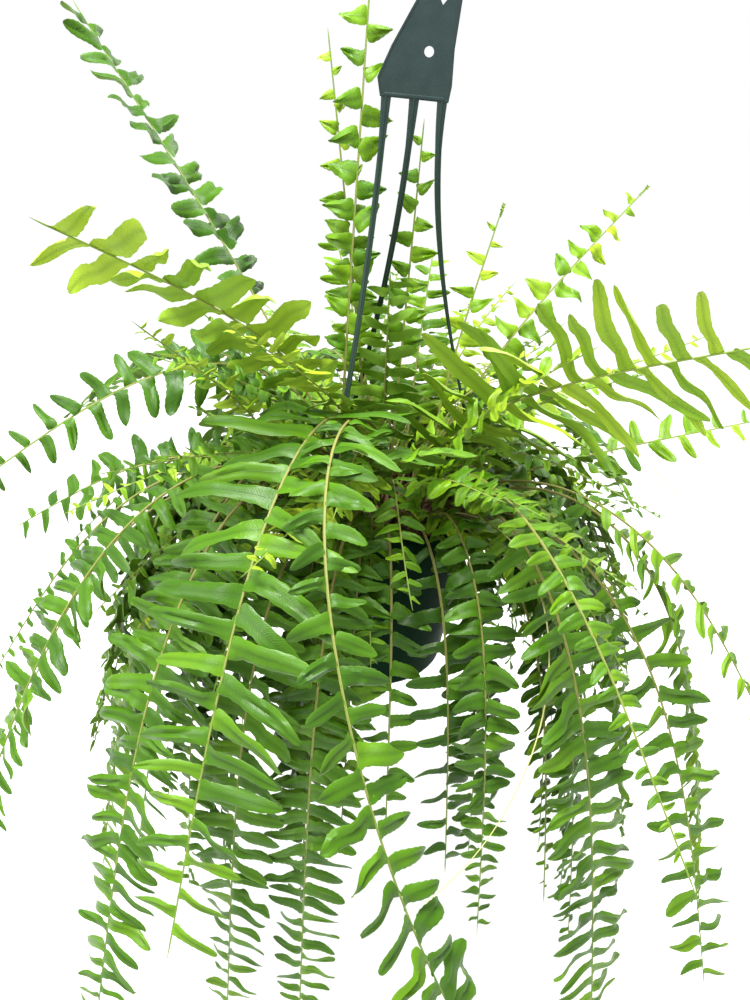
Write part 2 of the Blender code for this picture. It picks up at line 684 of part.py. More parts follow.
def soil(finish):
    """Peat that fills the pot to just under its rim, with a hole for every stalk."""
    slope = (FLANGE_INSIDE - BASE_RADIUS + POT_WALL) / (POT_HEIGHT - FOOT_RING - 3 * MM)
    bottom = POT_HEIGHT - FOOT_RING - 3.4 * MM
    inset = GAP + 0.1 * MM
    outline = (
        (0, -bottom),
        (FLANGE_INSIDE - slope * bottom - inset, -bottom),
        (FLANGE_INSIDE - slope * SOIL_DEPTH - inset, -SOIL_DEPTH),
        (0, -SOIL_DEPTH),
    )
    bm = bmesh.new()
    add_turned(bm, outline, POT_SIDES)
    made = add_object(bm, "soil", finish)
    cutters = bmesh.new()
    for frond in FRONDS + RUNNERS:
        path = stalk_path(frond)
        section = stalk_section(frond, path, 0, STALK_GAP)
        ends = (-ROOT_DEPTH - STALK_GAP, 8 * MM)
        add_tube(cutters, [[corner + path[0][1] * end for corner in section] for end in ends])
    apply_boolean(made, "DIFFERENCE", add_object(cutters, "root_holes"))
    return made


clear_scene()

pot_plastic = material("pot_plastic", (0.006, 0.022, 0.012), 0.3)
hanger_plastic = material("hanger_plastic", (0.02, 0.04, 0.035), 0.35)
peat = material("peat", (0.05, 0.032, 0.02), 0.95)
leaf_green = material("leaf_green", (0.07, 0.24, 0.02), 0.45)
runner_tan = material("runner_tan", (0.3, 0.28, 0.1), 0.6)

pieces = [pot(pot_plastic), hanger(hanger_plastic), soil(peat)]
obstacles = [object_obstacle(piece) for piece in pieces]
obstacles += [stalk_obstacle(frond) for frond in FRONDS + RUNNERS]
for seed, frond in enumerate(FRONDS):
    pieces.append(frond_object(frond, seed, leaf_green, obstacles))
for runner in RUNNERS:
    pieces.append(frond_object(runner, 0, runner_tan, obstacles))

rim_middle = bpy.data.objects.new("rim_middle", None)
rim_middle.location = -HOOK_CENTRE - UP * HOOK_INSIDE
bpy.context.scene.collection.objects.link(rim_middle)
for piece in pieces:
    piece.parent = rim_middle
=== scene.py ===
import math
import random
from typing import NamedTuple

import bmesh
import bpy
from mathutils import Matrix, Vector, noise
from mathutils.kdtree import KDTree


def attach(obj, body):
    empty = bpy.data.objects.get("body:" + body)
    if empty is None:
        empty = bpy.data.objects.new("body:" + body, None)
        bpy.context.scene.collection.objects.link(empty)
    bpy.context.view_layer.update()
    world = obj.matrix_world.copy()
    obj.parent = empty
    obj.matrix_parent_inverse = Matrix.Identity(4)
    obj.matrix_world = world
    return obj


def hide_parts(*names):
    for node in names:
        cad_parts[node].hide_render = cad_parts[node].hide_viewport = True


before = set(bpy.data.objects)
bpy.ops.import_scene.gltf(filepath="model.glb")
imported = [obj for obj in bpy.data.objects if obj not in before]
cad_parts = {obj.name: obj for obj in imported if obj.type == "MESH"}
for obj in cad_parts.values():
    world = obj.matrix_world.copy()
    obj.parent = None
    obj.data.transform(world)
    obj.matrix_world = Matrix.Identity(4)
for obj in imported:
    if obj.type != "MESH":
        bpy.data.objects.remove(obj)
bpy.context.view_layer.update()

SENSOR = 36
CAMERA_SPOT = (-0.046, -0.816, -0.162)
CAMERA_TURN, LOOKS_DOWN, TIPPED = 0.4, 26.6, 2.5  # degrees
camera_data = bpy.data.cameras.new("camera")
camera_data.sensor_width = SENSOR
camera_data.lens = SENSOR * 0.751
camera_data.clip_start = 0.01
camera = bpy.data.objects.new("camera", camera_data)
bpy.context.scene.collection.objects.link(camera)
bpy.context.scene.camera = camera
camera.matrix_world = (
    Matrix.Translation(CAMERA_SPOT)
    @ Matrix.Rotation(math.radians(CAMERA_TURN), 4, "Z")
    @ Matrix.Rotation(math.radians(90 - LOOKS_DOWN), 4, "X")
    @ Matrix.Rotation(math.radians(TIPPED), 4, "Z")
)

# Pot. A thin tapered nursery pot of dark green polypropylene, injection moulded, with a foot ring and drain
# holes. A flange and skirt at the rim stiffen it and hold the hanger in three slots.
MM = 0.001
RIM_MIDDLE = Vector((-46 * MM, 0, -560 * MM))
STRAND_HEADINGS = (0, 118, -120)
SLOT_CIRCLE = 121.5 * MM
SLOT = (3.4 * MM, 8 * MM, 12 * MM)
POT_BASE = -221 * MM
DRAIN_HOLES = 6
DRAIN_CIRCLE = 55 * MM
DRAIN_RADIUS = 6 * MM


class Sum:
    """A number that varies over a surface. Arithmetic on it adds Math nodes."""

    def __init__(self, finish, socket):
        self.finish = finish
        self.socket = socket

    def math(self, operation, *values):
        return self.finish.node("ShaderNodeMath", dict(enumerate(values)), operation=operation)

    def __add__(self, other):
        return self.math("ADD", self, other)

    __radd__ = __add__

    def __sub__(self, other):
        return self.math("SUBTRACT", self, other)

    def __rsub__(self, other):
        return self.math("SUBTRACT", other, self)

    def __mul__(self, other):
        return self.math("MULTIPLY", self, other)

    __rmul__ = __mul__

    def __abs__(self):
        return self.math("ABSOLUTE", self)

    def sine(self):
        return self.math("SINE", self)

    def rise(self, low, high):
        """0 below low and 1 above high, with a smooth slope between."""
        sockets = {"Value": self, "From Min": low, "From Max": high}
        return self.finish.node("ShaderNodeMapRange", sockets, interpolation_type="SMOOTHSTEP")


class Finish:
    """A procedural material: its nodes, and the one shader that they feed."""

    def __init__(self, name, gloss):
        self.material = bpy.data.materials.new(name)
        self.material.use_nodes = True
        self.tree = self.material.node_tree
        self.shader = self.tree.nodes["Principled BSDF"]
        self.shader.inputs["Specular IOR Level"].default_value = gloss
        self.place = self.node("ShaderNodeTexCoord", out="Object")

    def node(self, kind, sockets=None, out=0, **settings):
        made = self.tree.nodes.new(kind)
        for name, value in settings.items():
            setattr(made, name, value)
        for name, value in (sockets or {}).items():
            self.feed(made.inputs[name], value)
        return Sum(self, made.outputs[out])

    def feed(self, socket, value):
        """Links a number that varies, or sets a plain value, or a colour by its code."""
        if isinstance(value, Sum):
            self.tree.links.new(value.socket, socket)
        else:
            socket.default_value = shade(value) if isinstance(value, str) else value

    def blade(self):
        """Along a leaflet or stalk from 0 to 1, and across it from -1 to 1."""
        return self.split(self.node("ShaderNodeUVMap", uv_map="blade"))[:2]

    def growth(self):
        """What each face carries: its frond's youth, a chance number, and 1 underneath."""
        return self.split(self.node("ShaderNodeAttribute", out="Vector", attribute_name="growth"))

    def split(self, vector):
        apart = self.node("ShaderNodeSeparateXYZ", {0: vector})
        return [Sum(self, socket) for socket in apart.socket.node.outputs]

    def grain(self, scale, detail=3, rough=0.55):
        """Noise over the piece, at one scale or at one for each axis."""
        vector = self.place
        if isinstance(scale, tuple):
            vector = self.node("ShaderNodeVectorMath", {0: vector, 1: scale}, operation="MULTIPLY")
            scale = 1
        sockets = {"Vector": vector, "Scale": scale, "Detail": detail, "Roughness": rough}
        return self.node("ShaderNodeTexNoise", sockets, out="Fac")

    def blend(self, share, first, second):
        return self.node("ShaderNodeMix", {0: share, 6: first, 7: second}, out=2, data_type="RGBA")

    def ramp(self, share, *stops):
        ramp = self.node("ShaderNodeValToRGB", {"Fac": share}, out="Color")
        elements = ramp.socket.node.color_ramp.elements
        while len(elements) < len(stops):
            elements.new(0.5)
        for element, (place, code) in zip(elements, stops):
            element.position = place
            element.color = shade(code)
        return ramp

    def wear(self, colour, roughness, height, depth):
        """Feeds the shader, with the height as a bump of this depth in metres."""
        self.feed(self.shader.inputs["Base Color"], colour)
        self.feed(self.shader.inputs["Roughness"], roughness)
        bump = self.node("ShaderNodeBump", {"Height": height, "Distance": depth}, out="Normal")
        self.feed(self.shader.inputs["Normal"], bump)


def shade(code):
    """A colour written as six hex digits, in linear light."""
    parts = [int(code[start : start + 2], 16) / 255 for start in (0, 2, 4)]
    return (*(part / 12.92 if part <= 0.04045 else ((part + 0.055) / 1.055) ** 2.4 for part in parts), 1)


def choose(piece):
    bpy.ops.object.select_all(action="DESELECT")
    piece.select_set(True)
    bpy.context.view_layer.objects.active = piece


def add_piece(name, points, edges=(), faces=()):
    mesh = bpy.data.meshes.new(name)
    mesh.from_pydata(points, edges, faces)
    made = bpy.data.objects.new(name, mesh)
    bpy.context.scene.collection.objects.link(made)
    choose(made)
    return made


def turned(name, outline, sides):
    """An outline of (radius, height) points in millimetres, spun round the pot's axis."""
    points = [(radius * MM, 0, height * MM) for radius, height in outline]
    made = add_piece(name, points, [(k, k + 1) for k in range(len(points) - 1)])
    bpy.ops.object.mode_set(mode="EDIT")
    bpy.ops.mesh.select_all(action="SELECT")
    bpy.ops.mesh.spin(steps=sides, angle=math.tau, center=(0, 0, 0), axis=(0, 0, 1))
    bpy.ops.mesh.select_all(action="SELECT")
    bpy.ops.mesh.remove_doubles(threshold=0.01 * MM)
    bpy.ops.mesh.normals_make_consistent(inside=False)
    bpy.ops.object.mode_set(mode="OBJECT")
    return made


def finish_with(piece, kind, **settings):
    """Adds a modifier and applies it."""
    modifier = piece.modifiers.new(kind.title(), kind)
    for name, value in settings.items():
        setattr(modifier, name, value)
    choose(piece)
    bpy.ops.object.modifier_apply(modifier=modifier.name)


def round_edges(piece, width):
    limit = math.radians(30)
    finish_with(piece, "BEVEL", width=width, segments=2, limit_method="ANGLE", angle_limit=limit)


def combine(piece, operation, other):
    finish_with(piece, "BOOLEAN", operation=operation, solver="EXACT", object=other)
    bpy.data.objects.remove(other, do_unlink=True)


def add_block(size, place):
    bpy.ops.mesh.primitive_cube_add(size=1)
    made = bpy.context.active_object
    made.data.transform(place @ Matrix.Diagonal((*size, 1)))
    return made


def add_peg(radius, depth, place):
    bpy.ops.mesh.primitive_cylinder_add(vertices=24, radius=radius, depth=depth)
    made = bpy.context.active_object
    made.data.transform(place)
    return made


def rim_place(turn):
    """The middle of a hanger slot in the rim, X outward."""
    return Matrix.Rotation(math.radians(turn), 4, "Z") @ Matrix.Translation((SLOT_CIRCLE, 0, 0))


def hang(piece, node, slot, *finishes, crease=40):
    """Carries a finished piece from the rim's middle to its place under the hook, in place of its node."""
    piece.data.transform(Matrix.Translation(RIM_MIDDLE))
    for finish in finishes:
        piece.data.materials.append(finish)
    choose(piece)
    bpy.ops.object.shade_smooth_by_angle(angle=math.radians(crease))
    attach(piece, "root")
    if node:
        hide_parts(node)


def pot_finish():
    """Dark green, drawn out in faint upright streaks, with a thin bloom of lime."""
    plastic = Finish("pot_plastic", 0.004)
    streaks = plastic.grain((160, 160, 5))
    lime = plastic.grain((40, 40, 9), 5).rise(0.52, 0.8)
    clouds = plastic.grain(25)
    colour = plastic.blend(streaks, "07170d", "0e2a18")
    colour = plastic.blend(lime * 0.03, colour, "6f8f78")
    height = plastic.grain(500, 2) * 0.3 + streaks
    plastic.wear(colour, clouds * 0.2 + lime * 0.2 + 0.3, height, 0.15 * MM)
    return plastic.material


BASE_OUTSIDE = ((0, -221), (74, -221), (77, -225), (84, -225), (88, -219))
RIM = ((116.6, -13), (117.2, -12.4), (118, -2), (125, -2), (125, -14), (127, -14), (127, -1), (126, 0))
INSIDE = ((116.5, 0), (115.8, -11), (86, -218), (0, -219))
pot = turned("moulded_pot", BASE_OUTSIDE + RIM + INSIDE, 96)
round_edges(pot, 0.5 * MM)
for turn in STRAND_HEADINGS:
    combine(pot, "DIFFERENCE", add_block(SLOT, rim_place(turn)))
for index in range(DRAIN_HOLES):
    turn = Matrix.Rotation(math.tau * (index + 0.5) / DRAIN_HOLES, 4, "Z")
    place = turn @ Matrix.Translation((DRAIN_CIRCLE, 0, POT_BASE))
    combine(pot, "DIFFERENCE", add_peg(DRAIN_RADIUS, 20 * MM, place))
hang(pot, "pot", "pot_plastic", pot_finish())

# Hanger. One moulding of satin grey-green polypropylene: an open hook, a flag-shaped plate with a bead
# round its edge and a ledge across its foot, and three ridged straps whose barbed ends snap through the rim.
UP = Vector((0, 0, 1))
PLATE = Matrix.Translation((15 * MM, 0, 420 * MM)) @ Matrix.Rotation(math.radians(3), 4, "Y")
PLATE_THICK = 2.4 * MM
PLATE_LEFT = ((-33, 0), (-37, 16), (-26, 43), (7.2, 108), (14, 108))
PLATE_RIGHT = ((16.4, 103), (22, 98.6), (28, 97), (35.5, 101), (34, 66), (33, 44), (34.5, 14), (33, 0))
PLATE_OUTLINE = PLATE_LEFT + PLATE_RIGHT
TEAR = ((15.6, 81), (17.5, 78), (21.4, 83), (22.4, 88), (21.8, 92), (18.6, 97), (15.8, 93), (15.2, 87))
BEAD_SIDES = 6
HOOK_RADIUS = 14.4 * MM
HOOK_STEPS = 26
HOOK_STEP_ANGLE = 8
HOOK_SIDES = 12
HOOK_BAR = (3.4 * MM, 2.3 * MM)
STRAND_TOPS = (27, 0, -27)  # millimetres across the plate's foot
# A strand's foot: its collar on the rim, the tongue through the slot and the barb below, with their heights.
FOOT_BLOCKS = ((4.6, 11, 5, 2.8), (2.8, 7.4, 10, -2.5), (2, 12, 3.4, -4))


def tube_faces(rings, count):
    """Quads between rings of points that follow one another, and a face at each end."""
    faces = [tuple(range(count)), tuple(range((rings - 1) * count, rings * count))]
    for ring in range(rings - 1):
        for side in range(count):
            corners = (side, (side + 1) % count, (side + 1) % count + count, side + count)
            faces.append(tuple(ring * count + corner for corner in corners))
    return faces


def add_shell(name, points, faces):
    """A piece of closed shells, each turned the right way out."""
    made = add_piece(name, points, faces=faces)
    bm = bmesh.new()
    bm.from_mesh(made.data)
    bmesh.ops.recalc_face_normals(bm, faces=bm.faces)
    bm.to_mesh(made.data)
    bm.free()
    return made


def add_flat(name, outline, thick, place):
    """A flat piece with this outline in X and Z, in millimetres, its thickness halved by Y = 0."""
    points = [place @ Vector((x * MM, y, z * MM)) for y in (-thick / 2, thick / 2) for x, z in outline]
    return add_shell(name, points, tube_faces(2, len(outline)))


def add_swept(name, sections):
    """A bar through these closed sections, closed at both ends."""
    points = [point for section in sections for point in section]
    return add_shell(name, points, tube_faces(len(sections), len(sections[0])))


def bead(outline, width, high):
    """A low round bead that follows the plate's edge."""
    centre = Vector((4, 50))
    corners = [Vector(corner) for corner in outline]
    points = []
    for index, corner in enumerate(corners):
        before = (corner - corners[index - 1]).normalized()
        after = (corners[(index + 1) % len(corners)] - corner).normalized()
        inward = Vector((-before.y - after.y, before.x + after.x))
        inward = inward.normalized() / max(0.5, math.cos(before.angle(after) / 2))
        if inward.dot(centre - corner) < 0:
            inward = -inward
        middle = corner + inward * width
        for side in range(BEAD_SIDES):
            angle = math.tau * side / BEAD_SIDES
            spot = middle + inward * (width * 0.9 * math.cos(angle))
            points.append(PLATE @ Vector((spot.x * MM, high * math.sin(angle), spot.y * MM)))
    walls = tube_faces(len(corners) + 1, BEAD_SIDES)[2:]
    return add_shell("bead", points, [[corner % len(points) for corner in wall] for wall in walls])


def hook_sections():
    """Up out of the plate's neck, over in an arc, and down to a blunt end."""
    foot = PLATE @ Vector((10.6 * MM, 0, 98 * MM))
    centre = Vector((46 * MM, 0, 549 * MM))
    right, front = Vector((1, 0, 0)), Vector((0, 1, 0))
    middles = [(foot.lerp(centre - right * HOOK_RADIUS, share), -right) for share in (0, 0.35, 0.7)]
    for step in range(HOOK_STEPS):
        angle = math.radians(180 - HOOK_STEP_ANGLE * step)
        way = right * math.cos(angle) + UP * math.sin(angle)
        middles.append((centre + way * HOOK_RADIUS, way))
    sections = []
    for index, (middle, way) in enumerate(middles):
        size = 0.6 if index == len(middles) - 1 else 1
        wide, deep = HOOK_BAR[0] * size, HOOK_BAR[1] * size
        turns = [math.tau * (corner + 0.5) / HOOK_SIDES for corner in range(HOOK_SIDES)]
        sections.append([middle + way * (wide * math.cos(a)) + front * (deep * math.sin(a)) for a in turns])
    return sections


def heading(degrees):
    angle = math.radians(degrees)
    return Vector((math.cos(angle), math.sin(angle), 0))


def strand_path(turn, across, steps=40):
    """The middle line of a strap: straight down out of the plate, then out to its slot in the rim."""
    top = PLATE @ Vector((across * MM, 0, 2 * MM))
    foot = rim_place(turn) @ Vector((0, 0, 3 * MM))
    leave = PLATE.to_3x3() @ Vector((0, 0, -430 * MM))
    arrive = (foot - top) * Vector((1.35, 1.35, 0.95))
    points = []
    for step in range(steps + 1):
        t = step / steps
        point = top * (2 * t**3 - 3 * t**2 + 1) + leave * (t**3 - 2 * t**2 + t)
        points.append(point + foot * (3 * t**2 - 2 * t**3) + arrive * (t**3 - t**2))
    return points


def strand_sections(turn, points):
    """A ridged strap that starts edge on at the plate's foot and turns to face outward."""
    steps = len(points) - 1
    sideways = UP.cross(heading(turn))
    if sideways.x < 0:
        sideways = -sideways
    sections = []
    for step, point in enumerate(points):
        share = step / steps
        along = (points[min(step + 1, steps)] - points[max(step - 1, 0)]).normalized()
        flat = Vector((1, 0, 0)).lerp(sideways, min(1, 1.4 * share))
        flat = (flat - along * flat.dot(along)).normalized()
        thick = along.cross(flat) * (1.1 * MM)
        half = flat * ((3.2 - 0.6 * share + 1.7 * max(0, 1 - step / 4)) * MM)
        outline = ((1, -0.7), (1, 0.7), (0.85, 1), (0.3, 1.05), (0.12, 1.75), (-0.12, 1.75), (-0.3, 1.05))
        outline += ((-0.85, 1), (-1, 0.7), (-1, -0.7), (-0.85, -1), (0.85, -1))
        sections.append([point + half * x + thick * y for x, y in outline])
    return sections


def hanger_finish():
    """Satin plastic, a little mottled, paler where light dust lies on its upper faces."""
    plastic = Finish("hanger_plastic", 0.25)
    mottle = plastic.grain(60, 5)
    fine = plastic.grain(700, 2)
    facing = plastic.split(plastic.node("ShaderNodeNewGeometry", out="Normal"))[2].rise(0.3, 0.95)
    height = plastic.split(plastic.place)[2].rise(-0.25, -0.1)
    colour = plastic.blend(mottle, "12261c", "1b3226")
    colour = plastic.blend(height, colour, plastic.blend(mottle, "1d2b2a", "283736"))
    colour = plastic.blend(facing * 0.15, colour, "7a8a84")
    plastic.wear(colour, mottle * 0.2 + 0.3, fine + mottle, 0.1 * MM)
    return plastic.material


hanger = add_flat("moulded_hanger", PLATE_OUTLINE, PLATE_THICK, PLATE)
joined = [bead(PLATE_OUTLINE, 1.2, 1.9 * MM)]
ledge = add_block((58 * MM, 4.2 * MM, 3 * MM), PLATE @ Matrix.Translation((0, 0, 2.5 * MM)))
round_edges(ledge, 0.6 * MM)
joined.append(ledge)
joined.append(add_swept("hook", hook_sections()))
strands = [strand_path(turn, across) for turn, across in zip(STRAND_HEADINGS, STRAND_TOPS)]
for turn, strand in zip(STRAND_HEADINGS, strands):
    joined.append(add_swept("strand", strand_sections(turn, strand)))
    for *size, height in FOOT_BLOCKS:
        place = rim_place(turn) @ Matrix.Translation((0, 0, height * MM))
        block = add_block([side * MM for side in size], place)
        round_edges(block, 0.4 * MM)
        joined.append(block)
for part in joined:
    combine(hanger, "UNION", part)
hole = PLATE @ Matrix.Translation((9.5 * MM, 0, 40.5 * MM)) @ Matrix.Rotation(math.radians(90), 4, "X")
combine(hanger, "DIFFERENCE", add_peg(4.6 * MM, 10 * MM, hole))
combine(hanger, "DIFFERENCE", add_flat("tear", TEAR, 10 * MM, PLATE))
hang(hanger, "hanger", "hanger_plastic", hanger_finish())

# Peat. A moist mix of peat and bark fills the pot to just under the rim. It is crumbly and a little heaped on
# top, with brown fibres in it.
SOIL_DEPTH = 14 * MM
PEAT_OUTLINE = [(0, -217.6), (85.7, -217.6), (114, -24)]
PEAT_OUTLINE += [(114.3 - 4 * step, -14 - 0.02 * step) for step in range(28)]
PEAT_OUTLINE.append((0, -13.5))


def peat_finish():
    peat = Finish("peat", 0.25)
    crumbs = peat.grain(220, 6, 0.7)
    clods = peat.grain(60, 4)
    fibres = peat.grain((700, 90, 300)).rise(0.58, 0.75)
    colour = peat.blend(crumbs, "1c120b", "4a3220")
    colour = peat.blend(clods.rise(0.55, 0.75) * 0.5, colour, "5d4630")
    colour = peat.blend(fibres * 0.5, colour, "86694a")
    peat.wear(colour, crumbs * 0.1 + 0.85, crumbs + clods, 1.5 * MM)
    return peat.material


peat = turned("crumbly_peat", PEAT_OUTLINE, 96)
for vertex in peat.data.vertices:
    reach = math.hypot(vertex.co.x, vertex.co.y)
    if vertex.co.z > -20 * MM and reach < 113 * MM:
        spot = vertex.co * 55
        lumps = noise.noise(spot) * 2.6 + noise.noise(spot * 3.1) * 1.2
        vertex.co.z += (lumps + 1.5) * MM
hang(peat, "soil", "peat", peat_finish(), crease=60)

# Fronds. Each grows on its own from the crown: a tough grooved stalk, brown and scaly at its foot, that
# arches over under its own weight, with two rows of thin, glossy, toothed leaflets. Young ones are yellower.
STALK_STEPS = 60
STALK_HALF_BASE = 1.3 * MM
STALK_HALF_TIP = 0.5 * MM
STALK_DEEP = 1.5
ROOT_DEPTH = 24 * MM
LAST_PAIR = 0.97
LEAFLET_ROOM = 0.86
LONG_LEAFLET = 50 * MM  # longer ones droop only beyond their middle
LONG_BEND, SHORT_BEND = 0.62, 0.16
WAVY_LEAFLET = 45 * MM
LONG_BLADE_FROM = 34 * MM
SPREADS = ((5, 13), (-3, 11), (6, 22))  # degrees that a leaflet sweeps forward, lifts, and droops
LEAFLET_SPACING = 24
TRIANGLE_SPACING = 30
STAGGER = 0.22
SWERVE = 0.22
FULLEST = 1.25
TRIANGLE_PLUMP = 0.5
TRIANGLE_LONGER = 1.22
CREST = 0.52  # where each half of a leaflet swells most, as a share of its width
COIL_STEPS = 44
COIL_STEP_ANGLE = 9.4
MATCH = 0.05 * MM
# Ways to bend a leaflet clear of the others: how far it is shortened, and degrees that it is lifted by.
BENDS = (
    (1, (0, 12, -12, 24, -24, 38, -38)),
    (0.75, (0, 20, -20)),
    (0.5, (0, 28, -28)),
    (0.32, (0, 35, -35)),
)
# Shares of a leaflet's length, its half widths behind and ahead of the midrib, and how far its edge runs on.
LONG_BLADE = (
    (0, 0.08, 0.08, 0), (0.025, 0.36, 0.5, -0.04), (0.07, 0.5, 0.66, -0.06),
    (0.16, 0.46, 0.52, -0.02), (0.28, 0.45, 0.47, 0), (0.42, 0.46, 0.47, 0),
    (0.56, 0.45, 0.46, 0), (0.7, 0.4, 0.42, 0.01), (0.82, 0.32, 0.35, 0.015),
    (0.93, 0.18, 0.21, 0.02), (1, 0, 0, 0),
)
SHORT_BLADE = (
    (0, 0.08, 0.08, 0), (0.07, 0.4, 0.54, -0.05), (0.2, 0.48, 0.54, -0.02),
    (0.38, 0.48, 0.5, 0), (0.58, 0.44, 0.46, 0.01), (0.78, 0.33, 0.37, 0.01),
    (0.93, 0.17, 0.21, 0.01), (1, 0, 0, 0),
)
TRIANGLE_BLADE = (
    (0, 0.08, 0.08, 0), (0.05, 0.38, 0.48, -0.05), (0.15, 0.52, 0.58, -0.03),
    (0.3, 0.47, 0.5, 0), (0.5, 0.38, 0.4, 0), (0.7, 0.26, 0.28, 0),
    (0.88, 0.12, 0.13, 0), (1, 0, 0, 0),
)


class Frond(NamedTuple):
    """One frond: how young it is, where its stalk leaves the peat, how it bends, and its leaflets."""

    name: str
    youth: float  # 0 where the frond is old and dark, 1 where it has just opened
    heading: float  # degrees round the pot, 0 towards +X
    root: tuple  # millimetres from the pot's axis, and degrees round it
    rise: float  # degrees above level where it leaves the peat
    weight: float  # how strongly what lies beyond each point bends it down
    length: float  # millimetres along the stalk
    pairs: int  # pairs of leaflets
    leaflet: float  # millimetres, the longest leaflet
    bare: float = 0.24  # share of the stalk below the first leaflets
    taper: float = 0.4  # the last leaflets' share of the longest one's length
    plump: float = 0.44  # a leaflet's width as a share of its length
    coiled: bool = False  # ends in an unopened coil
    roll: float = 0  # degrees that the two rows of leaflets are turned by round the stalk, left side up
    swing: float = 0  # degrees that the heading has turned by at the tip


